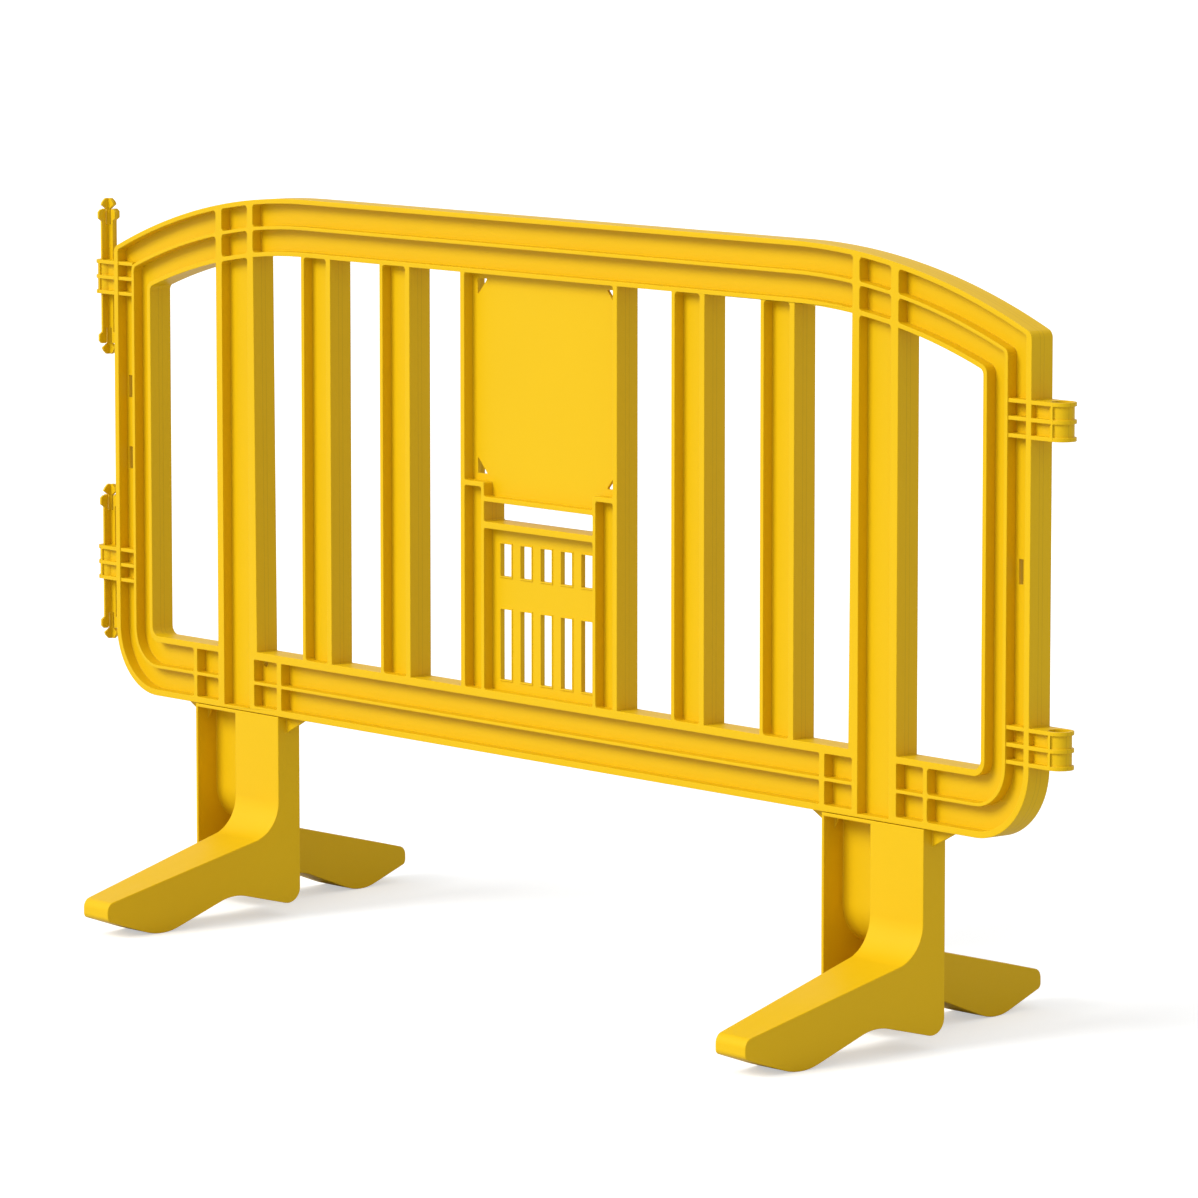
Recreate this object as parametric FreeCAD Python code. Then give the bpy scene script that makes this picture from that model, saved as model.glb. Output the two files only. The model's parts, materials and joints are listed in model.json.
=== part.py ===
import FreeCAD, Part
import math
import os

# A crowd control barrier: a rib-and-web moulded panel on two feet that swivel under it.
# Frame: X along the panel, Y through it (front is -Y), Z up, origin on the ground at mid length.

# ---- driving dimensions, millimetres ----
LENGTH = 2000.0            # panel, rim to rim
HEIGHT = 1061.0            # ground to the top of the rim
GROUND_GAP = 298.5         # ground to the underside of the panel
DEPTH = 38.0               # panel, front to back
WEB = 5.0                  # thickness of every web
POST_X = 700.0             # middle of each post, and the swivel axis of its foot
POST_W = 91.0              # post, over its two ribs at the bottom
BAR_W = 69.0               # the four upright bars
CENTRE_W = 344.0           # sign and grille unit in the middle
FOOT_W = 202.0             # foot column, along the panel
FOOT_D = 40.0              # foot column, through the panel
FOOT_REACH = 331.0         # swivel axis to the tip of each leg
FOOT_WALL = 5.0            # walls of the foot
HUB_LEN = 50.0             # length of the hub round the spindle
SPINDLE_R = 12.0           # spindle that each foot turns on
COUPLING_REACH = 38.0      # rim to the coupling axis, at both ends
PIN_R = 13.9               # half width of the wide blade of a coupling pin
PIN_BLADE = 4.0            # thickness of its blades

# ---- clearances ----
RUNNING_FIT = 0.08         # spindle in the foot's hub, radial
PIN_FIT = 0.3              # coupling pin in a coupling loop, radial
SWIVEL_GAP = 1.0           # panel to foot, and hub to retainer

# ---- ribs and rims: (at the sides, at the top, at the bottom), from the outside inwards ----
HALF = LENGTH / 2
OUTER_OUT = (HALF, HEIGHT, GROUND_GAP)
OUTER_IN = (HALF - 10.0, HEIGHT - 7.0, GROUND_GAP + 9.0)
MID_OUT = (HALF - 44.4, HEIGHT - 39.5, GROUND_GAP + 41.5)
MID_IN = (HALF - 50.4, HEIGHT - 44.5, GROUND_GAP + 46.0)
INNER_OUT = (HALF - 83.7, HEIGHT - 77.0, GROUND_GAP + 81.0)
INNER_IN = (HALF - 91.0, HEIGHT - 83.4, GROUND_GAP + 90.0)
RAIL_TOP_MID = GROUND_GAP + 78.5    # underside of the thick rib that the bars stand on
ARCH_SPAN = 466.0                   # length of the arched shoulder at each end
FLAT_HALF = HALF - ARCH_SPAN        # the top is straight this far from the middle
ARCH_R = 1200.0                     # and falls away to the corners at this radius
LOW_R = 100.0                       # radius of the outer bottom corners
CORNER_R = 12.0                     # radius of the outer top corners
GAP_R = (14.0, 9.0)                 # corners of the end openings, at the bottom and the top
CHANNEL_R = ((LOW_R - 10.0, 6.0), (LOW_R - 42.0, 11.0))     # outer channel, its two sides: (bottom, top)
INNER_CHANNEL_R = ((LOW_R - 48.0, 8.0), (22.0, 13.0))       # inner channel
CELL_R = 5.0                        # corners of the large pockets
SMALL_R = 2.5                       # corners of the rails' cells
UNIT_R = 3.5                        # corners of the pockets in the middle unit
ARCH_DROP = 260.0                   # the shoulder's cells lie within this of the top
CUT_UNDER_TOP = 12.0                # the members part this far under the top rail,
CUT_STILE = 215.0                   # this far under the top of the panel in the end stiles,
CUT_OVER_CORNER = 15.0              # and this far over the bottom corners

POST_OUT = POST_X + POST_W / 2            # side away from the middle
POST_LEAN = 4.0                           # the side towards the middle stands out by this at the bottom
POST_IN = POST_X - POST_W / 2 - POST_LEAN
POST_TAPER = 5.0                          # its inner rib is this much slimmer at the top
CHANNEL_HALF = 31.0                       # half width of the post's open channel
SOLE = 4.8                                # plate that closes the channel at the bottom
CELL_RIB_X = (POST_X - FOOT_W / 2 - 6.5, POST_X + FOOT_W / 2 - 3.0)   # ribs above the foot's two edges
CELL_RIB_W = (10.5, 8.0)
POST_RIB = 11.0                           # inner rib of the post, at the rails
RAIL_POST_IN = POST_X - CHANNEL_HALF - POST_RIB

BAR_LEFT_X = (-540.0, -356.0, 287.0, 471.0)   # left side of each bar
BAR_RIB_LEFT = 7.0
BAR_RIB_RIGHT = 10.0

CENTRE_RIB = 9.2
STEP_RIB = 6.2                            # uprights beside the hand slot and the grille
STEP_HALF = 125.6
RAIL_Z = INNER_IN[2]                      # top of the bottom rail, which the unit's levels start from
SIGN_LOW = RAIL_Z + 295.0                 # top of the short ribs under the sign's shoulders
SHOULDER = 7.0
GRIP_TOP = (RAIL_Z + 274.7, RAIL_Z + 268.1)   # rib over the hand slot: top, underside
GRIP_LOW = (RAIL_Z + 239.5, RAIL_Z + 230.1)   # rib under it
SLOT_W = 23.4
SLOT_PITCH = 44.5
SLOT_COUNT = 5
SLOT_ROWS = ((RAIL_Z + 162.5, RAIL_Z + 208.5), (RAIL_Z + 15.5, RAIL_Z + 115.5))
COLLAR_W = 2.2                            # raised collar round each slot
COLLAR_T = 7.8                            # front to back over the collar
TIE_X = 152.5                             # square corners of the triangular tie holes
TIE_Z = (RAIL_Z + 304.5, HEIGHT - 91.5)
TIE_LEG = (21.5, 23.5)
TIE_R = 1.0

PIN_LEVELS = (GROUND_GAP + 189.5, HEIGHT - 140.7)     # middles of the pin brackets
LOOP_LEVELS = (GROUND_GAP + 129.5, HEIGHT - 206.5)    # middles of the loops
PIN_HALF = 118.0                          # a pin, middle to tip
FLANGE_T = 5.4
FLANGE_PITCH = 22.7
RIB_SHORT = 1.5                           # the channel ribs stop this far behind the faces
PIN_CORE = math.hypot(PIN_R, PIN_BLADE / 2)   # round middle of a pin, over the blade's corners
LOOP_BORE = PIN_CORE + PIN_FIT
HUB_WALL = 1.9
HUB_R = LOOP_BORE + HUB_WALL
CHEEK = (7.0, 10.0)                       # walls between the flanges, from the mid plane
UPRIGHT_W = 4.4                           # upright rib on the outside of each hub
NARROW = 1.4                              # the blade across X is this much narrower each side
STEM = 4.5                                # half width of a pin's stem between its sprung prongs
SLIT = 3.3                                # gap beside the stem
PRONG = 40.0                              # length of the sprung end
LOBE = (19.5, 18.5)                       # half width over the lobes, blade across Y and across X
LOBE_LOW = 17.5                           # foot of a lobe below its prong's end
LOBE_RISE = 4.0
NECK = 17.0                               # prong's end to the tip
HEAD = (14.0, 12.0, 6.5)                  # half widths of the arrow head
HEAD_Z = (6.5, 11.0, 16.4)                # and their heights above the prong's end

STRAP = (8.5, 33.0)                       # slots for a strap in the end channels
STRAP_PLACES = (
    (-HALF + 17.8, PIN_LEVELS[1] - 162.8),
    (-HALF + 17.8, PIN_LEVELS[1] - 270.3),
    (HALF - 34.0, LOOP_LEVELS[0] + 225.5),
)
FIX_R = 5.0                               # round hole under the rail's top rib, beside each post
FIX_IN = 50.0                             # post's middle to the hole
FIX_DOWN = 1.5                            # rib to the hole's top

FOOT_TOP = GROUND_GAP - SWIVEL_GAP
HUB_OUT = SPINDLE_R + 5.0                 # outside of the hub
SPINDLE_END = 9.0                         # the spindle goes this far past the hub
RING_T = 5.0                              # retaining ring, along the spindle
RING_OUT = HUB_OUT - 2.5
ROOM = 14.0                               # room for the ring under the hub

# one leg and its side of the foot, seen from the side: (distance forward of the axis, height, corner radius)
LEG_SLOPE = 0.246                         # fall of the leg's top
LEG_NOSE = 51.8                           # height of the top at the tip
LEG_TOP_IN = LEG_NOSE + LEG_SLOPE * (FOOT_REACH - FOOT_D / 2)
LEG_SIDE = (
    (FOOT_D / 2, FOOT_TOP, 0.0),
    (FOOT_D / 2, LEG_TOP_IN, 56.0),
    (FOOT_REACH, LEG_NOSE, 14.0),
    (FOOT_REACH, 27.4, 8.0),
    (233.3, -5.6, 91.0),
    (102.7, 43.5, 80.0),
    (-FOOT_D / 2, 13.4, 22.4),
    (-FOOT_D / 2, FOOT_TOP, 0.0),
)
LEG_IN = (-3.6, 41.5)                     # inner side of the leg: at the column, at the tip
SOLE_Z = 46.0                             # floor of the column's open pocket
GUSSET = (48.0, 24.5, 4.0)                # rib under the panel outside the column: length, height, thickness
GUSSET_IN = 10.0                          # its length inside
GUSSET_Y = -2.0                           # its middle

made = {}


def V(x, y, z):
    return FreeCAD.Vector(x, y, z)


def box(x0, x1, y0, y1, z0, z1):
    return Part.makeBox(x1 - x0, y1 - y0, z1 - z0, V(x0, y0, z0))


def slab(points, y0, y1):
    """A prism through the panel from an outline in X and Z."""
    outline = [V(x, y0, z) for x, z in points]
    face = Part.Face(Part.makePolygon(outline + outline[:1]))
    return face.extrude(V(0, y1 - y0, 0))


def rounded(solid, radius, where=None):
    """Round the edges that run along Y, all of them or those that `where` picks."""
    edges = []
    for edge in solid.Edges:
        ends = edge.Vertexes
        if len(ends) != 2 or edge.Curve.TypeId != "Part::GeomLine":
            continue
        run = ends[1].Point.sub(ends[0].Point)
        if abs(run.x) > 1e-6 or abs(run.z) > 1e-6:
            continue
        if where is None or where(ends[0].Point):
            edges.append(edge)
    return solid.makeFillet(radius, edges) if edges else solid


def rim(side, top, bottom, low_r, top_r, y0, y1):
    """A prism with the panel's outline: flat top, arched shoulders, round bottom corners."""
    radius = ARCH_R - (HEIGHT - top)
    middle = HEIGHT - ARCH_R
    end_z = middle + math.sqrt(radius ** 2 - (side - FLAT_HALF) ** 2)
    half_x = FLAT_HALF + (side - FLAT_HALF) / 2
    half_z = middle + math.sqrt(radius ** 2 - (half_x - FLAT_HALF) ** 2)
    corners = [V(-side, y0, bottom), V(side, y0, bottom), V(side, y0, end_z)]
    right = Part.Arc(V(side, y0, end_z), V(half_x, y0, half_z), V(FLAT_HALF, y0, top))
    left = Part.Arc(V(-FLAT_HALF, y0, top), V(-half_x, y0, half_z), V(-side, y0, end_z))
    edges = [Part.makeLine(corners[0], corners[1]), Part.makeLine(corners[1], corners[2]),
             right.toShape(), Part.makeLine(V(FLAT_HALF, y0, top), V(-FLAT_HALF, y0, top)),
             left.toShape(), Part.makeLine(V(-side, y0, end_z), corners[0])]
    solid = Part.Face(Part.Wire(edges)).extrude(V(0, y1 - y0, 0))
    solid = rounded(solid, low_r, lambda p: p.z < bottom + 1)
    return rounded(solid, top_r, lambda p: abs(abs(p.x) - side) < 1e-3 and p.z > bottom + low_r + 50)


def turned(shape, x, degrees=180.0):
    """A copy turned about the vertical axis at x."""
    copy = shape.copy()
    copy.rotate(V(x, 0, 0), V(0, 0, 1), degrees)
    return copy


def cylinder(radius, x, z0, z1):
    return Part.makeCylinder(radius, z1 - z0, V(x, 0, z0), V(0, 0, 1))


def outline_face(points, place):
    """A face from corner points (a, b, radius), each corner rounded with its own radius."""
    count = len(points)
    edges = []
    start = None
    last = None
    for index in range(count + 1):
        a, b, radius = points[index % count]
        here = place(a, b)
        if radius > 0:
            before = place(*points[(index - 1) % count][:2]).sub(here).normalize()
            after = place(*points[(index + 1) % count][:2]).sub(here).normalize()
            half = before.getAngle(after) / 2
            tangent = radius / math.tan(half)
            enter = here.add(before * tangent)
            leave = here.add(after * tangent)
            bisector = (before + after).normalize()
            middle = here.add(bisector * (radius / math.sin(half) - radius))
        else:
            enter = leave = here
        if last is not None and last.distanceToPoint(enter) > 1e-6:
            edges.append(Part.makeLine(last, enter))
        if index == count:
            break
        if radius > 0:
            edges.append(Part.Arc(enter, middle, leave).toShape())
        last = leave
        start = start or enter
    return Part.Face(Part.Wire(Part.__sortEdges__(edges)))


def mirror_y(shape):
    return shape.mirror(V(0, 0, 0), V(0, 1, 0))


def mirror_x(shape):
    return shape.mirror(V(0, 0, 0), V(1, 0, 0))


# ---- the panel moulding ----
FRONT = -DEPTH / 2 - 1.0      # pockets start a little in front of the panel
FLOOR = -WEB / 2              # and end on the web


def shell_region(outer, inner, radii, y0, y1):
    """The band between two rims: a rim channel."""
    outside = rim(*outer, *radii[0], y0, y1)
    return outside.cut(rim(*inner, *radii[1], y0 - 1, y1 + 1))


def end_channels():
    """The two channels that run round one end, from the post's top to the rail's cells."""
    past_corner = GROUND_GAP + LOW_R + 20
    upper = box(POST_OUT, HALF, FRONT, FLOOR, past_corner, HEIGHT)
    lower = box(CELL_RIB_X[1] + CELL_RIB_W[1], HALF, FRONT, FLOOR, GROUND_GAP, past_corner + 1)
    keep = upper.fuse(lower).removeSplitter()
    bands = [(OUTER_IN, MID_OUT, CHANNEL_R), (MID_IN, INNER_OUT, INNER_CHANNEL_R)]
    channels = []
    for outer, inner, radii in bands:
        channel = shell_region(outer, inner, radii, FRONT, FLOOR).common(keep)
        ends = lambda p: abs(p.x - POST_OUT) < 0.01 or abs(p.x - CELL_RIB_X[1] - CELL_RIB_W[1]) < 0.01
        channels.append(rounded(channel, CELL_R, ends))
    return channels


def cell(x0, x1, z0, z1, radius=CELL_R):
    return rounded(box(x0, x1, FRONT, FLOOR, z0, z1), radius)


def arched_cell(x0, x1, outer, inner):
    """A cell of the top band, between two rims that may be curved here."""
    band = rim(*outer, 5.0, 5.0, FRONT, FLOOR).cut(rim(*inner, 5.0, 5.0, FRONT - 1, FLOOR + 1))
    part = band.common(box(x0, x1, FRONT, FLOOR, HEIGHT - ARCH_DROP, HEIGHT))
    return rounded(part, CELL_R, lambda p: abs(p.x - x0) < 0.01 or abs(p.x - x1) < 0.01)


def side_pockets():
    """Pockets of the front face that are repeated at both ends, for the +X end."""
    pockets = end_channels()
    channel = (POST_X - CHANNEL_HALF, POST_X + CHANNEL_HALF)
    pockets.append(arched_cell(*channel, OUTER_IN, MID_OUT))
    pockets.append(arched_cell(*channel, MID_IN, INNER_OUT))
    post = rim(*INNER_IN, 5.0, 5.0, FRONT, FLOOR).fuse(
        box(*channel, FRONT, FLOOR, GROUND_GAP + SOLE, GROUND_GAP + 200))
    post = post.common(box(*channel, FRONT, FLOOR, GROUND_GAP + SOLE, HEIGHT))
    pockets.append(rounded(post.removeSplitter(), CELL_R, lambda p: p.z > GROUND_GAP + 300))
    rows = ((OUTER_IN[2], MID_OUT[2]), (MID_IN[2], INNER_OUT[2]))
    inner_rows = (rows[0], (MID_IN[2], RAIL_TOP_MID))
    for (low, high), (mid_low, mid_high) in zip(rows, inner_rows):
        pockets.append(cell(POST_OUT, CELL_RIB_X[1], low, high, SMALL_R))
        pockets.append(cell(CELL_RIB_X[0] + CELL_RIB_W[0], RAIL_POST_IN, mid_low, mid_high, SMALL_R))
    return pockets


def middle_pockets():
    """Long cells of the rails, the bars' pockets and those of the middle unit."""
    pockets = []
    post_in_top = POST_IN + POST_TAPER
    for outer, inner in ((OUTER_IN, MID_OUT), (MID_IN, INNER_OUT)):
        pockets.append(arched_cell(-post_in_top, post_in_top, outer, inner))
    for low, high in ((OUTER_IN[2], MID_OUT[2]), (MID_IN[2], RAIL_TOP_MID)):
        pockets.append(cell(-CELL_RIB_X[0], CELL_RIB_X[0], low, high, SMALL_R))
    for left in BAR_LEFT_X:
        x0, x1 = left + BAR_RIB_LEFT, left + BAR_W - BAR_RIB_RIGHT
        pockets.append(cell(x0, x1, INNER_IN[2], INNER_IN[1]))
    inside = CENTRE_W / 2 - CENTRE_RIB
    step_in = STEP_HALF - STEP_RIB
    sign = [(-inside, SIGN_LOW), (-step_in, SIGN_LOW), (-step_in, GRIP_TOP[0]), (step_in, GRIP_TOP[0]),
            (step_in, SIGN_LOW), (inside, SIGN_LOW), (inside, INNER_IN[1]), (-inside, INNER_IN[1])]
    pockets.append(rounded(slab(sign, FRONT, FLOOR), UNIT_R))
    pockets.append(cell(-step_in, step_in, INNER_IN[2], GRIP_LOW[1], UNIT_R))
    for side in (-1, 1):
        x0, x1 = sorted((side * STEP_HALF, side * inside))
        pockets.append(cell(x0, x1, INNER_IN[2], SIGN_LOW - SHOULDER, UNIT_R))
    return pockets


def gaps():
    """The openings that go right through: (name, solid)."""
    far = DEPTH
    inside = rim(*INNER_IN, *GAP_R, -far, far)
    found = []
    side_gap = inside.common(box(POST_OUT, HALF, -far, far, GROUND_GAP, HEIGHT))
    found += [("end_gap_right", side_gap), ("end_gap_left", mirror_x(side_gap))]
    low, high = INNER_IN[2], HEIGHT
    edges = [(BAR_LEFT_X[0] + BAR_W, BAR_LEFT_X[1]), (BAR_LEFT_X[1] + BAR_W, -CENTRE_W / 2)]
    edges += [(-right, -left) for left, right in edges]
    for index, (left, right) in enumerate(edges):
        found.append(("bar_gap_%d" % (index + 1), inside.common(box(left, right, -far, far, low, high))))
    bar_end = BAR_LEFT_X[3] + BAR_W
    corners = [(bar_end, low), (POST_IN, low), (POST_IN + POST_TAPER, high), (bar_end, high)]
    post_gap = slab(corners, -far, far)
    post_gap = inside.common(post_gap)
    found += [("post_gap_right", post_gap), ("post_gap_left", mirror_x(post_gap))]
    grip_half = STEP_HALF - STEP_RIB
    grip = rounded(box(-grip_half, grip_half, -far, far, GRIP_LOW[0], GRIP_TOP[1]), SMALL_R)
    found.append(("hand_slot", grip))
    return found


def slots(grow, depth):
    """The grille's slots as boxes, larger by `grow` all round and `depth` front to back."""
    first = -SLOT_PITCH * (SLOT_COUNT - 1) / 2
    half = SLOT_W / 2 + grow
    found = []
    for index in range(SLOT_COUNT):
        middle = first + index * SLOT_PITCH
        for low, high in SLOT_ROWS:
            found.append(box(middle - half, middle + half, -depth / 2, depth / 2, low - grow, high + grow))
    return found


def web_holes():
    """Slots and tie holes in the webs."""
    far = DEPTH / 2
    holes = slots(0.0, DEPTH)
    for side in (-1, 1):
        for level, up in ((TIE_Z[0], 1), (TIE_Z[1], -1)):
            corner = (side * TIE_X, level)
            across = (side * (TIE_X - TIE_LEG[0]), level)
            upright = (side * TIE_X, level + up * TIE_LEG[1])
            holes.append(rounded(slab([corner, across, upright], -far, far), TIE_R))
    width, length = STRAP
    for x, z in STRAP_PLACES:
        holes.append(box(x - width / 2, x + width / 2, -far, far, z - length / 2, z + length / 2))
    for side in (-1, 1):
        start = V(side * (POST_X - FIX_IN), -far, RAIL_TOP_MID - FIX_DOWN - FIX_R)
        holes.append(Part.makeCylinder(FIX_R, 2 * far, start, V(0, 1, 0)))
    return holes


def panel_moulding():
    body = rim(*OUTER_OUT, LOW_R, CORNER_R, -DEPTH / 2, DEPTH / 2)
    right = side_pockets()
    front = right + [mirror_x(pocket) for pocket in right] + middle_pockets()
    tools = front + [mirror_y(pocket) for pocket in front]
    tools += [solid for name, solid in gaps()]
    body = body.cut(tools).fuse(channel_ribs() + slots(COLLAR_W, COLLAR_T))
    return body.cut(web_holes()).removeSplitter()


def panel_members(body):
    """Split the one moulding into its members, on planes beside the ribs."""
    far = DEPTH
    post = (POST_IN - 2.0, POST_OUT)
    top_z = INNER_IN[1] - CUT_UNDER_TOP
    low_z = RAIL_Z
    arch_z = HEIGHT - CUT_STILE
    corner_z = GROUND_GAP + LOW_R + CUT_OVER_CORNER
    cuts = {
        "top_rail": box(-post[0], post[0], -far, far, top_z, HEIGHT + 1),
        "bottom_rail": box(-post[0], post[0], -far, far, 0, low_z),
        "sign_panel": box(-CENTRE_W / 2, CENTRE_W / 2, -far, far, GRIP_TOP[1], top_z),
        "grille_panel": box(-CENTRE_W / 2, CENTRE_W / 2, -far, far, low_z, GRIP_TOP[1]),
    }
    for index, left in enumerate(BAR_LEFT_X):
        cuts["bar_%d" % (index + 1)] = box(left, left + BAR_W, -far, far, low_z, top_z)
    for name, side in (("left", -1), ("right", 1)):
        def span(x0, x1, z0, z1):
            lower, upper = sorted((side * x0, side * x1))
            return box(lower, upper, -far, far, z0, z1)
        cuts["post_" + name] = span(post[0], post[1], 0, HEIGHT + 1)
        cuts["top_arch_" + name] = span(post[1], HALF + 1, arch_z, HEIGHT + 1)
        cuts["end_stile_" + name] = span(post[1], HALF + 1, corner_z, arch_z)
        cuts["bottom_corner_" + name] = span(post[1], HALF + 1, 0, corner_z)
    return {name: body.common(cut) for name, cut in cuts.items()}


def channel_ribs():
    """The couplings' ribs carried on into the outer channel of each stile."""
    ribs = []
    x0, x1 = MID_OUT[0] - 1.0, OUTER_IN[0] + 1.0
    for side, levels in ((-1, PIN_LEVELS), (1, LOOP_LEVELS)):
        low, high = sorted((side * x0, side * x1))
        for level in levels:
            for step in (-1, 0, 1):
                z = level + step * FLANGE_PITCH - FLANGE_T / 2
                ribs.append(box(low, high, -DEPTH / 2 + RIB_SHORT, DEPTH / 2 - RIB_SHORT, z, z + FLANGE_T))
    return ribs


# ---- the couplings ----
def coupling_body(side, level):
    """Three flanges and a hub on the end of the panel. The loops and the pin brackets share it."""
    rim_x, axis_x = side * HALF, side * (HALF + COUPLING_REACH)
    low, high = sorted((rim_x, axis_x))
    half = DEPTH / 2
    z0 = level - FLANGE_PITCH - FLANGE_T / 2
    z1 = level + FLANGE_PITCH + FLANGE_T / 2
    parts = []
    for step in (-1, 0, 1):
        z = level + step * FLANGE_PITCH - FLANGE_T / 2
        parts.append(box(low, high, -half, half, z, z + FLANGE_T))
        parts.append(cylinder(half, axis_x, z, z + FLANGE_T))
    parts.append(cylinder(HUB_R, axis_x, z0, z1))
    for front in (-1, 1):
        wall = sorted((front * CHEEK[0], front * CHEEK[1]))
        parts.append(box(low, high, wall[0], wall[1], z0, z1))
        upright = sorted((front * half, front * LOOP_BORE))
        parts.append(box(axis_x - UPRIGHT_W / 2, axis_x + UPRIGHT_W / 2, upright[0], upright[1], z0, z1))
    body = parts[0].fuse(parts[1:]).removeSplitter()
    bore = PIN_CORE if side < 0 else LOOP_BORE
    return body.cut(cylinder(bore, axis_x, z0 - 1, z1 + 1)).removeSplitter()


def pin_blade(half, lobe):
    """One blade of a coupling pin about the origin, in X and Z: stem, prongs, lobes and arrow head."""
    face = PIN_BLADE / 2
    root, neck = PIN_HALF - PRONG, PIN_HALF - NECK
    shaft = slab([(-half, 0), (half, 0), (half, root), (-half, root)], -face, face)
    right = [(STEM, root), (STEM, neck)] + [(w, neck + z) for w, z in zip(HEAD, HEAD_Z)]
    head = slab(right + [(-w, z) for w, z in reversed(right)], -face, face)
    inner = STEM + SLIT
    prong = [(inner, root), (half, root), (half, neck - LOBE_LOW), (lobe, neck - LOBE_LOW + LOBE_RISE),
             (lobe, neck - LOBE_RISE), (lobe - LOBE_RISE, neck), (inner, neck)]
    prongs = [slab([(side * w, z) for w, z in prong], -face, face) for side in (-1, 1)]
    return shaft.fuse([head] + prongs).removeSplitter()


def coupling_pin(level):
    """Two crossed blades, the same up and down, on a round middle that fills the bracket."""
    wide = turned(pin_blade(PIN_R, LOBE[0]), 0.0, 90.0)
    narrow = pin_blade(PIN_R - NARROW, LOBE[1])
    upper = wide.fuse(narrow)
    lower = upper.mirror(V(0, 0, 0), V(0, 0, 1))
    reach = FLANGE_PITCH + FLANGE_T / 2
    pin = cylinder(PIN_CORE, 0.0, -reach, reach).fuse([upper, lower]).removeSplitter()
    pin.translate(V(-HALF - COUPLING_REACH, 0, level))
    return pin


# ---- the feet ----
def half_foot(x):
    """The half of a foot with the front leg: outer shape and the hollow inside it."""
    def solid_between(face, x0, x1):
        copy = face.copy()
        copy.translate(V(x + x0, 0, 0))
        return copy.extrude(V(x1 - x0, 0, 0))

    face = outline_face(LEG_SIDE, lambda u, z: V(0, -u, z))
    inner = face.makeOffset2D(-FOOT_WALL, join=2)
    outer = solid_between(face, LEG_IN[0], FOOT_W / 2)
    hollow = solid_between(inner, -LEG_IN[0], FOOT_W / 2 - FOOT_WALL)
    reach = FOOT_REACH + 1.0
    column = FOOT_D / 2

    def wedge(shift):
        slope = (LEG_IN[1] - LEG_IN[0]) / (FOOT_REACH - column)
        tip = LEG_IN[0] + slope * (reach - column)
        low = -FOOT_D
        far = x - FOOT_W / 2
        plan = [V(far, -column, low), V(x + LEG_IN[0] + shift, -column, low),
                V(x + tip + shift, -reach, low), V(far, -reach, low)]
        return Part.Face(Part.makePolygon(plan + plan[:1])).extrude(V(0, 0, HEIGHT))

    outer = outer.cut(wedge(0.0))
    hollow = hollow.cut(wedge(-2 * LEG_IN[0]))
    back = box(x - LEG_IN[0], x + FOOT_W / 2 - FOOT_WALL, column - FOOT_WALL - 1, column + 1,
               SOLE_Z, FOOT_TOP - FOOT_WALL)
    return outer, hollow.fuse(back)


def gusset(x, edge, out):
    """A triangular rib under the top plate, from the column's side outwards or inwards."""
    length, height, thick = GUSSET
    reach = edge + out * (length if out > 0 else GUSSET_IN)
    points = [(x + edge, FOOT_TOP), (x + reach, FOOT_TOP), (x + edge, FOOT_TOP - height)]
    return slab(points, GUSSET_Y - thick / 2, GUSSET_Y + thick / 2)


def foot(x):
    """A whole foot at x, as its members: column, cap and two legs."""
    outer, hollow = half_foot(x)
    column_half = FOOT_D / 2
    hub_z = FOOT_TOP - HUB_LEN
    column = outer.fuse(turned(outer, x))
    column = column.cut([hollow, turned(hollow, x)])
    inside = gusset(x, FOOT_W / 2 - FOOT_WALL, -1)
    outside = gusset(x, FOOT_W / 2, 1)
    hub = cylinder(HUB_OUT, x, hub_z, FOOT_TOP)
    whole = column.fuse([hub, inside, turned(inside, x), outside, turned(outside, x)])
    bore = cylinder(SPINDLE_R + RUNNING_FIT, x, hub_z - 1, FOOT_TOP + 1)
    room = cylinder(RING_OUT + SWIVEL_GAP, x, hub_z - ROOM, hub_z)
    whole = whole.cut([bore, room]).removeSplitter()
    wide = FOOT_W
    members = {
        "front_leg": whole.common(box(x - wide, x + wide, -FOOT_REACH - 1, -column_half, -20, FOOT_TOP)),
        "back_leg": whole.common(box(x - wide, x + wide, column_half, FOOT_REACH + 1, -20, FOOT_TOP)),
        "column": whole.common(box(x - wide, x + wide, -column_half, column_half, -20, hub_z)),
        "cap": whole.common(box(x - wide, x + wide, -column_half, column_half, hub_z, FOOT_TOP + 1)),
    }
    return members


def spindle(x):
    """The stud under the post that its foot turns on."""
    return cylinder(SPINDLE_R, x, FOOT_TOP - HUB_LEN - SPINDLE_END, GROUND_GAP)


def retainer(x):
    """The ring on the end of the spindle that keeps the foot on."""
    top = FOOT_TOP - HUB_LEN - SWIVEL_GAP
    low = top - RING_T
    return cylinder(RING_OUT, x, low, top).cut(cylinder(SPINDLE_R, x, low - 1, top + 1))


def check(name, shape):
    made[name] = shape
    print(name, shape.isValid(), len(shape.Solids), round(shape.Volume / 1e3, 1), "cm3")


panel = panel_moulding()
for name, shape in panel_members(panel).items():
    check(name, shape)
for name, level in zip(("lower", "upper"), PIN_LEVELS):
    check("pin_bracket_" + name, coupling_body(-1, level))
    check("coupling_pin_" + name, coupling_pin(level))
for name, level in zip(("lower", "upper"), LOOP_LEVELS):
    check("coupling_loop_" + name, coupling_body(1, level))
for name, x in (("left", -POST_X), ("right", POST_X)):
    for member, shape in foot(x).items():
        check("foot_%s_%s" % (name, member), shape)
    check("spindle_" + name, spindle(x))
    check("retainer_" + name, retainer(x))

os.makedirs("parts", exist_ok=True)
for name, shape in made.items():
    shape.exportStep("parts/%s.step" % name)
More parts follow.
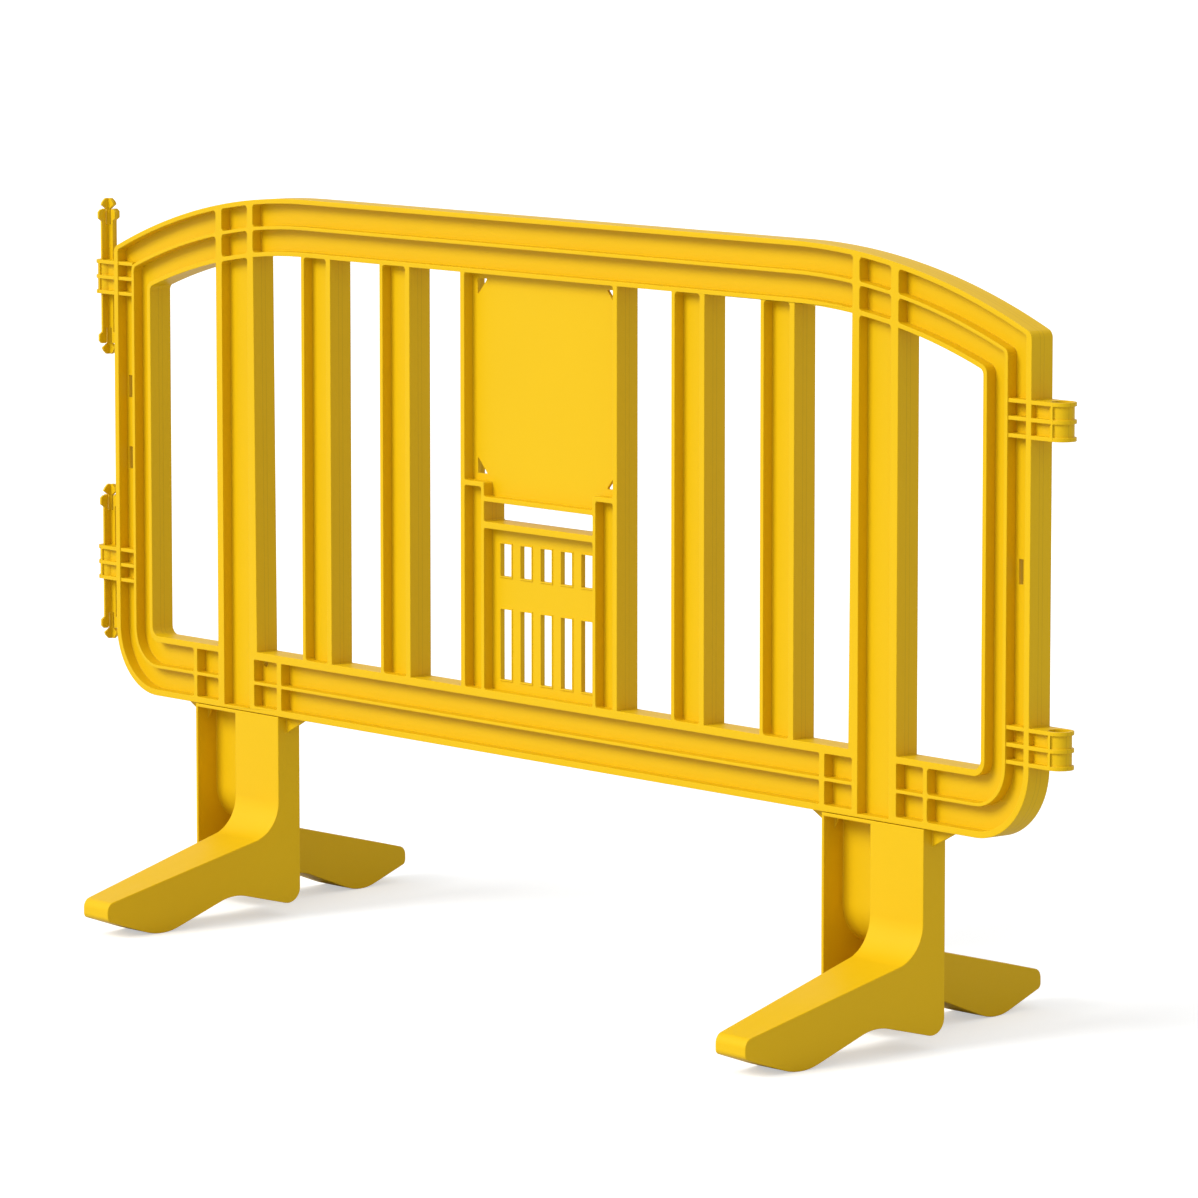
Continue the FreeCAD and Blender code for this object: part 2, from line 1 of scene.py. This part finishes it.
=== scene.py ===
# %% [markdown]
# # A crowd control barrier
# The real object is a plastic panel, made in one shot in a mould, that stands on two feet and links to the
# next panel with pins and loops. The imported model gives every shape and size. This lesson gives it the look
# of moulded plastic: soft edges, a fine grain, and the marks that a mould leaves.
#
# Everything is in metres, with X along the panel, its front towards -Y, and Z up from the ground.

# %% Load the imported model
import json
import math

import bpy
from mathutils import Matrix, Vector


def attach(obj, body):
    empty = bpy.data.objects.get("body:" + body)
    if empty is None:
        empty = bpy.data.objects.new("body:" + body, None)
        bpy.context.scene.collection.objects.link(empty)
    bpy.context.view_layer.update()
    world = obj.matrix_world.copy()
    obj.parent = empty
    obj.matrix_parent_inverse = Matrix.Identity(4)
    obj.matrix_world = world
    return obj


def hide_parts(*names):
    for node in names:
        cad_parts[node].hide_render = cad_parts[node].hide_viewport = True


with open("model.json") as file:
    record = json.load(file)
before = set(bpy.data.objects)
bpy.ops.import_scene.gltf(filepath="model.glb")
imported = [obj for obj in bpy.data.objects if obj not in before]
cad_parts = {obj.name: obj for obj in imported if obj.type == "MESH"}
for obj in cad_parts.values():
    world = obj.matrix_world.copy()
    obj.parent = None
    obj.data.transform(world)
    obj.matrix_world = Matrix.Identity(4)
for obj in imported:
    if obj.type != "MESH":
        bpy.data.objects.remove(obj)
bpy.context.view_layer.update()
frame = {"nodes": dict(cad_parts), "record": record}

# %% [markdown]
# ## Camera, floor and light
# A long lens far away keeps the panel's upright ribs parallel, so that is how the camera is set up: a little
# above the panel, looking along it from the end with the loops. The floor is one pale plane, big enough to
# fill the view, so that only the soft shadows say where it is.

# %% Camera
AZIMUTH = math.radians(50.045)
ELEVATION = math.radians(6.979)
TARGET = Vector((0.11113, 0.0, 0.5377))
DISTANCE = 9.867
FOCAL_LENGTH_MM = 213.34
SENSOR_MM = 36.0
FAR_CLIP = 400.0

forward = Vector((-math.sin(AZIMUTH) * math.cos(ELEVATION), math.cos(AZIMUTH) * math.cos(ELEVATION),
                  -math.sin(ELEVATION)))
lens = bpy.data.cameras.new("long_lens")
lens.lens = FOCAL_LENGTH_MM
lens.sensor_width = SENSOR_MM
lens.clip_end = FAR_CLIP
camera = bpy.data.objects.new("camera", lens)
bpy.context.scene.collection.objects.link(camera)
camera.location = TARGET - forward * DISTANCE
camera.rotation_euler = forward.to_track_quat("-Z", "Y").to_euler()
bpy.context.scene.camera = camera
print("camera at", [round(c, 3) for c in camera.location])

# %% Floor
FLOOR_SIZE = 160.0
FLOOR_CENTRE = (0.0, 40.0, 0.0)

bpy.ops.mesh.primitive_plane_add(size=FLOOR_SIZE, location=FLOOR_CENTRE)
floor = bpy.context.object
floor.name = "studio_floor"
print("floor", floor.dimensions[:2])

# %% [markdown]
# The key light stands in front of the panel, to its left and above it, so the ribs' front edges are brightest,
# each rib shades the web under it a little, and the sides that face the right end fall into half shade. A white
# surround fills the pockets. It is brighter at the walls than overhead.

# %% Lights
KEY_ENERGY = 2.75
KEY_SOFTNESS = math.radians(30.0)
TOWARDS_KEY = Vector((-0.22, -0.78, 0.58))
WALL_LIGHT = 0.81
CEILING_LIGHT = 0.68

sun = bpy.data.lights.new("key", "SUN")
sun.energy = KEY_ENERGY
sun.angle = KEY_SOFTNESS
key = bpy.data.objects.new("key", sun)
bpy.context.scene.collection.objects.link(key)
key.rotation_euler = TOWARDS_KEY.to_track_quat("Z", "Y").to_euler()
surround = bpy.data.worlds.new("white_surround")
surround.use_nodes = True
sky = surround.node_tree.nodes["Background"]
direction = surround.node_tree.nodes.new("ShaderNodeTexCoord")
upward = surround.node_tree.nodes.new("ShaderNodeSeparateXYZ")
fade = surround.node_tree.nodes.new("ShaderNodeMapRange")
fade.inputs["To Min"].default_value = WALL_LIGHT
fade.inputs["To Max"].default_value = CEILING_LIGHT
surround.node_tree.links.new(direction.outputs["Generated"], upward.inputs["Vector"])
surround.node_tree.links.new(upward.outputs["Z"], fade.inputs["Value"])
surround.node_tree.links.new(fade.outputs["Result"], sky.inputs["Strength"])
sky.inputs["Color"].default_value = (1.0, 1.0, 1.0, 1.0)
bpy.context.scene.world = surround
bpy.context.scene.view_settings.view_transform = "Standard"
print("key light", sun.energy, "walls", WALL_LIGHT, "ceiling", CEILING_LIGHT)

# %% [markdown]
# ## Finishes
# The plastic is coloured right through and comes out of the mould with a fine spark-eroded grain. Three
# effects are shared by all its pieces, so each is a node group: the grain, the slow change of tone that a
# cooling wall shows, and the thin line where the two halves of the mould met.

# %% Node helpers
def new_group(name, inputs, outputs):
    """A shader node group with named number inputs and named outputs."""
    group = bpy.data.node_groups.new(name, "ShaderNodeTree")
    for label, value in inputs:
        socket = group.interface.new_socket(name=label, in_out="INPUT", socket_type="NodeSocketFloat")
        socket.default_value = value
    for label, kind in outputs:
        group.interface.new_socket(name=label, in_out="OUTPUT", socket_type=kind)
    enter = group.nodes.new("NodeGroupInput")
    leave = group.nodes.new("NodeGroupOutput")
    return group, enter, leave


def maths(tree, operation, first, second=None):
    """One Math node. Each operand is a socket or a number."""
    node = tree.nodes.new("ShaderNodeMath")
    node.operation = operation
    for index, operand in enumerate((first, second)):
        if operand is None:
            continue
        if isinstance(operand, (int, float)):
            node.inputs[index].default_value = operand
        else:
            tree.links.new(operand, node.inputs[index])
    return node.outputs["Value"]


def noise(tree, scale, detail):
    """Noise on the piece's own coordinates, at a scale per metre."""
    place = tree.nodes.new("ShaderNodeTexCoord")
    node = tree.nodes.new("ShaderNodeTexNoise")
    node.inputs["Detail"].default_value = detail
    tree.links.new(place.outputs["Object"], node.inputs["Vector"])
    if isinstance(scale, (int, float)):
        node.inputs["Scale"].default_value = scale
    else:
        tree.links.new(scale, node.inputs["Scale"])
    return node.outputs["Fac"]


# %% Group: moulded grain
grain, enter, leave = new_group("moulded_grain", [("Scale", 900.0), ("Depth", 0.5)],
                                [("Height", "NodeSocketFloat"), ("Roughness Shift", "NodeSocketFloat")])
fine = noise(grain, enter.outputs["Scale"], 2.0)
height = maths(grain, "MULTIPLY", fine, enter.outputs["Depth"])
grain.links.new(height, leave.inputs["Height"])
PATCHES_PER_METRE = 14.0
ROUGHNESS_SWING = 0.16
patches = noise(grain, PATCHES_PER_METRE, 3.0)
shift = maths(grain, "MULTIPLY", maths(grain, "SUBTRACT", patches, 0.5), ROUGHNESS_SWING)
grain.links.new(shift, leave.inputs["Roughness Shift"])
print("group", grain.name)

# %% Group: tone of a cooled wall
tone, enter, leave = new_group("cooled_tone", [("Amount", 0.06)], [("Factor", "NodeSocketFloat")])
TONES_PER_METRE = 5.0
slow = noise(tone, TONES_PER_METRE, 3.0)
swing = maths(tone, "MULTIPLY", maths(tone, "SUBTRACT", slow, 0.5), enter.outputs["Amount"])
tone.links.new(maths(tone, "ADD", swing, 1.0), leave.inputs["Factor"])
print("group", tone.name)

# %% [markdown]
# The mould opens along Y, so its two halves meet near the mid plane of the panel, where each leaves a fine
# step. The two lines show only on faces that run along Y: a narrow band of the Y coordinate on each side of
# the middle, masked by how far the face turns away from Y.

# %% Group: parting line
parting, enter, leave = new_group("parting_line", [("Offset", 0.003), ("Width", 0.0005)],
                                  [("Mask", "NodeSocketFloat")])
place = parting.nodes.new("ShaderNodeTexCoord")
split = parting.nodes.new("ShaderNodeSeparateXYZ")
parting.links.new(place.outputs["Object"], split.inputs["Vector"])
off_centre = maths(parting, "SUBTRACT", maths(parting, "ABSOLUTE", split.outputs["Y"]), enter.outputs["Offset"])
inside = maths(parting, "LESS_THAN", maths(parting, "ABSOLUTE", off_centre), enter.outputs["Width"])
facing = parting.nodes.new("ShaderNodeSeparateXYZ")
parting.links.new(place.outputs["Normal"], facing.inputs["Vector"])
EDGE_ON_LIMIT = 0.3
edge_on = maths(parting, "LESS_THAN", maths(parting, "ABSOLUTE", facing.outputs["Y"]), EDGE_ON_LIMIT)
parting.links.new(maths(parting, "MULTIPLY", inside, edge_on), leave.inputs["Mask"])
print("group", parting.name)


# %% [markdown]
# Each finish is a Principled shader: the colour times the slow tone, a shade darker on the parting line, a
# satin roughness that the grain shifts, and the grain and the line as bumps.

# %% Plastic finishes
GRAIN_PER_METRE = 900.0
LINE_OFFSET = 0.0034
LINE_HALF_WIDTH = 0.0006
BUMP_STRENGTH = 0.25
BUMP_HEIGHT = 0.0003
SHEEN_LEVEL = 0.14


def plastic(name, colour, rough, grain_depth, tone_amount, line):
    """Moulded plastic. line says how dark the parting line is, 0 for none."""
    material = bpy.data.materials.new(name)
    material.use_nodes = True
    tree = material.node_tree
    shader = tree.nodes["Principled BSDF"]
    shader.inputs["IOR"].default_value = 1.5
    shader.inputs["Specular IOR Level"].default_value = SHEEN_LEVEL

    def placed(group, **values):
        node = tree.nodes.new("ShaderNodeGroup")
        node.node_tree = group
        for label, value in values.items():
            node.inputs[label].default_value = value
        return node

    tones = placed(tone, Amount=tone_amount)
    lines = placed(parting, Offset=LINE_OFFSET, Width=LINE_HALF_WIDTH)
    grains = placed(grain, Scale=GRAIN_PER_METRE, Depth=grain_depth)
    shade = maths(tree, "SUBTRACT", tones.outputs["Factor"],
                  maths(tree, "MULTIPLY", lines.outputs["Mask"], line))
    scaled = tree.nodes.new("ShaderNodeVectorMath")
    scaled.operation = "SCALE"
    scaled.inputs[0].default_value = colour
    tree.links.new(shade, scaled.inputs["Scale"])
    tree.links.new(scaled.outputs["Vector"], shader.inputs["Base Color"])
    roughness = maths(tree, "ADD", grains.outputs["Roughness Shift"], rough)
    tree.links.new(roughness, shader.inputs["Roughness"])
    bump = tree.nodes.new("ShaderNodeBump")
    bump.inputs["Strength"].default_value = BUMP_STRENGTH
    bump.inputs["Distance"].default_value = BUMP_HEIGHT
    relief = maths(tree, "ADD", grains.outputs["Height"], lines.outputs["Mask"])
    tree.links.new(relief, bump.inputs["Height"])
    tree.links.new(bump.outputs["Normal"], shader.inputs["Normal"])
    return material


YELLOW = (0.68, 0.42, 0.003)
PAPER = (0.62, 0.635, 0.65, 1.0)
PAPER_GLOW = 0.50

panel_yellow = plastic("panel_yellow", YELLOW, 0.42, 0.5, 0.05, 0.12)
foot_yellow = plastic("foot_yellow", YELLOW, 0.46, 0.8, 0.06, 0.0)
pin_yellow = plastic("pin_yellow", YELLOW, 0.38, 0.3, 0.03, 0.0)
hidden_yellow = plastic("spindle_yellow", YELLOW, 0.5, 0.2, 0.02, 0.0)

paper = bpy.data.materials.new("studio_paper")
paper.use_nodes = True
paper_shader = paper.node_tree.nodes["Principled BSDF"]
paper_shader.inputs["Base Color"].default_value = PAPER
paper_shader.inputs["Roughness"].default_value = 0.9
paper_shader.inputs["Specular IOR Level"].default_value = 0.0
paper_shader.inputs["Emission Color"].default_value = (1.0, 1.0, 1.0, 1.0)
seen = paper.node_tree.nodes.new("ShaderNodeLightPath")
glow = maths(paper.node_tree, "MULTIPLY", seen.outputs["Is Camera Ray"], PAPER_GLOW)
paper.node_tree.links.new(glow, paper_shader.inputs["Emission Strength"])
floor.data.materials.append(paper)
print("finishes:", [m.name for m in bpy.data.materials if m.users])

# %% [markdown]
# ## One moulding from many members
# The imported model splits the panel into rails, posts, bars and panes, because a simulation needs simple
# shapes. The real panel is one moulding with no seams. Its members are copied, joined by a Boolean union,
# cleaned of the flat triangles' edges, and given the small radius that every moulded edge has. A bevel on the
# separate members would draw a groove at every joint, so the union comes first.
#
# The bevel runs without its overlap clamp, which would thin every edge to suit the smallest one. At a few tiny
# ribs it then reaches past the moulding or folds over, so stray points are put back on the moulding's own box
# and folded faces are turned outwards.


# %% Helpers for merged copies
WELD = 0.000005
FLAT = math.radians(0.1)
SHARP = math.radians(32.0)
SMOOTH = math.radians(60.0)
FOLD_TURN = -0.3
SAME_PLACE = 1e-6


def deselect():
    """Clear the selection, so that the next operator works on one piece."""
    for obj in bpy.context.selected_objects:
        obj.select_set(False)


def make_active(obj):
    """Make one piece the whole selection."""
    deselect()
    obj.select_set(True)
    bpy.context.view_layer.objects.active = obj


def merged_copy(node):
    """A copy of a CAD node with its loose triangles welded."""
    obj = frame["nodes"][node].copy()
    obj.data = obj.data.copy()
    obj.parent = None
    for key_name in list(obj.keys()):
        del obj[key_name]
    bpy.context.scene.collection.objects.link(obj)
    make_active(obj)
    bpy.ops.object.mode_set(mode="EDIT")
    bpy.ops.mesh.select_all(action="SELECT")
    bpy.ops.mesh.remove_doubles(threshold=WELD)
    bpy.ops.object.mode_set(mode="OBJECT")
    obj.data.materials.clear()
    return obj


def union(name, nodes):
    """One closed mesh from the copies of several CAD nodes."""
    base = merged_copy(nodes[0])
    base.name = name
    base.data.name = name
    others = [merged_copy(node) for node in nodes[1:]]
    group = bpy.data.collections.new(name + "_members")
    bpy.context.scene.collection.children.link(group)
    for obj in others:
        group.objects.link(obj)
    make_active(base)
    modifier = base.modifiers.new("union", "BOOLEAN")
    modifier.operation = "UNION"
    modifier.operand_type = "COLLECTION"
    modifier.collection = group
    modifier.solver = "EXACT"
    bpy.ops.object.modifier_apply(modifier="union")
    for obj in others:
        bpy.data.objects.remove(obj)
    bpy.data.collections.remove(group)
    return base


def turn_folds(obj):
    """Where the bevel folded a thin triangle over, turn it back to face outwards."""
    mesh = obj.data
    sums = [Vector() for _ in mesh.vertices]
    for face in mesh.polygons:
        for vertex in face.vertices:
            sums[vertex] += face.normal * face.area
    folded = [face.index for face in mesh.polygons
              if all(face.normal.dot(sums[v]) < FOLD_TURN * sums[v].length for v in face.vertices)]
    make_active(obj)
    bpy.ops.object.mode_set(mode="EDIT")
    bpy.ops.mesh.select_mode(type="FACE")
    bpy.ops.mesh.select_all(action="DESELECT")
    bpy.ops.object.mode_set(mode="OBJECT")
    for index in folded:
        mesh.polygons[index].select = True
    bpy.ops.object.mode_set(mode="EDIT")
    bpy.ops.mesh.flip_normals()
    bpy.ops.object.mode_set(mode="OBJECT")
    return len(folded)


def own_box(mesh):
    """The lowest and highest coordinate of a mesh along each axis."""
    return [(min(v.co[axis] for v in mesh.vertices), max(v.co[axis] for v in mesh.vertices))
            for axis in range(3)]


def hold_in_box(mesh, box):
    """Put back the points that the bevel pushed past the box. Returns how many there were."""
    moved = 0
    for vertex in mesh.vertices:
        inside = Vector([min(max(vertex.co[axis], box[axis][0]), box[axis][1]) for axis in range(3)])
        if (inside - vertex.co).length > SAME_PLACE:
            moved += 1
        vertex.co = inside
    return moved


def soften(obj, radius, segments=2):
    """Melt flat triangles together, then round every sharp edge."""
    make_active(obj)
    bpy.ops.object.mode_set(mode="EDIT")
    bpy.ops.mesh.select_all(action="SELECT")
    bpy.ops.mesh.dissolve_limited(angle_limit=FLAT)
    bpy.ops.mesh.select_all(action="SELECT")
    bpy.ops.mesh.quads_convert_to_tris(quad_method="BEAUTY", ngon_method="BEAUTY")
    bpy.ops.object.mode_set(mode="OBJECT")
    box = own_box(obj.data)
    bevel = obj.modifiers.new("edge_radius", "BEVEL")
    bevel.width = radius
    bevel.segments = segments
    bevel.limit_method = "ANGLE"
    bevel.angle_limit = SHARP
    bevel.use_clamp_overlap = False
    bevel.loop_slide = False
    bpy.ops.object.modifier_apply(modifier="edge_radius")
    held = hold_in_box(obj.data, box)
    folds = turn_folds(obj)
    bpy.ops.object.shade_smooth_by_angle(angle=SMOOTH)
    obj.modifiers.new("flat_faces_first", "WEIGHTED_NORMAL")
    bpy.ops.object.modifier_apply(modifier="flat_faces_first")
    print(obj.name, "faces", len(obj.data.polygons), "held", held, "folds turned", folds,
          "size", [round(d, 4) for d in obj.dimensions])
    return obj


# %% The panel moulding
BODIES = frame["record"]["behaviour"]["bodies"]
LOOSE = ("coupling_pin", "spindle", "retainer")
PANEL_RADIUS = 0.0006
FOOT_RADIUS = 0.0012
FOOT_SEGMENTS = 3
PIN_RADIUS = 0.0005

panel_nodes = [node for node in BODIES["panel"] if not node.startswith(LOOSE)]
panel = soften(union("panel_moulding", panel_nodes), PANEL_RADIUS)
panel.data.materials.append(panel_yellow)
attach(panel, "panel")
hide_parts(*panel_nodes)

# %% [markdown]
# Each foot is one moulding too: a column that is two open boxes back to back, with a leg from each. Its walls
# are thicker, so its edges carry a larger radius.

# %% The feet
for side in ("foot_left", "foot_right"):
    foot = soften(union(side + "_moulding", BODIES[side]), FOOT_RADIUS, FOOT_SEGMENTS)
    foot.data.materials.append(foot_yellow)
    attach(foot, side)
    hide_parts(*BODIES[side])

# %% [markdown]
# The coupling pins show, so they are softened copies. The studs under the posts and their rings are hidden in
# the feet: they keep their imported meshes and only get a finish.

# %% Pins, studs and rings
for node in BODIES["panel"]:
    if node.startswith("coupling_pin"):
        pin = soften(merged_copy(node), PIN_RADIUS)
        pin.name = node + "_softened"
        pin.data.materials.append(pin_yellow)
        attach(pin, "panel")
        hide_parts(node)
    elif node.startswith(LOOSE):
        frame["nodes"][node].data.materials.clear()
        frame["nodes"][node].data.materials.append(hidden_yellow)
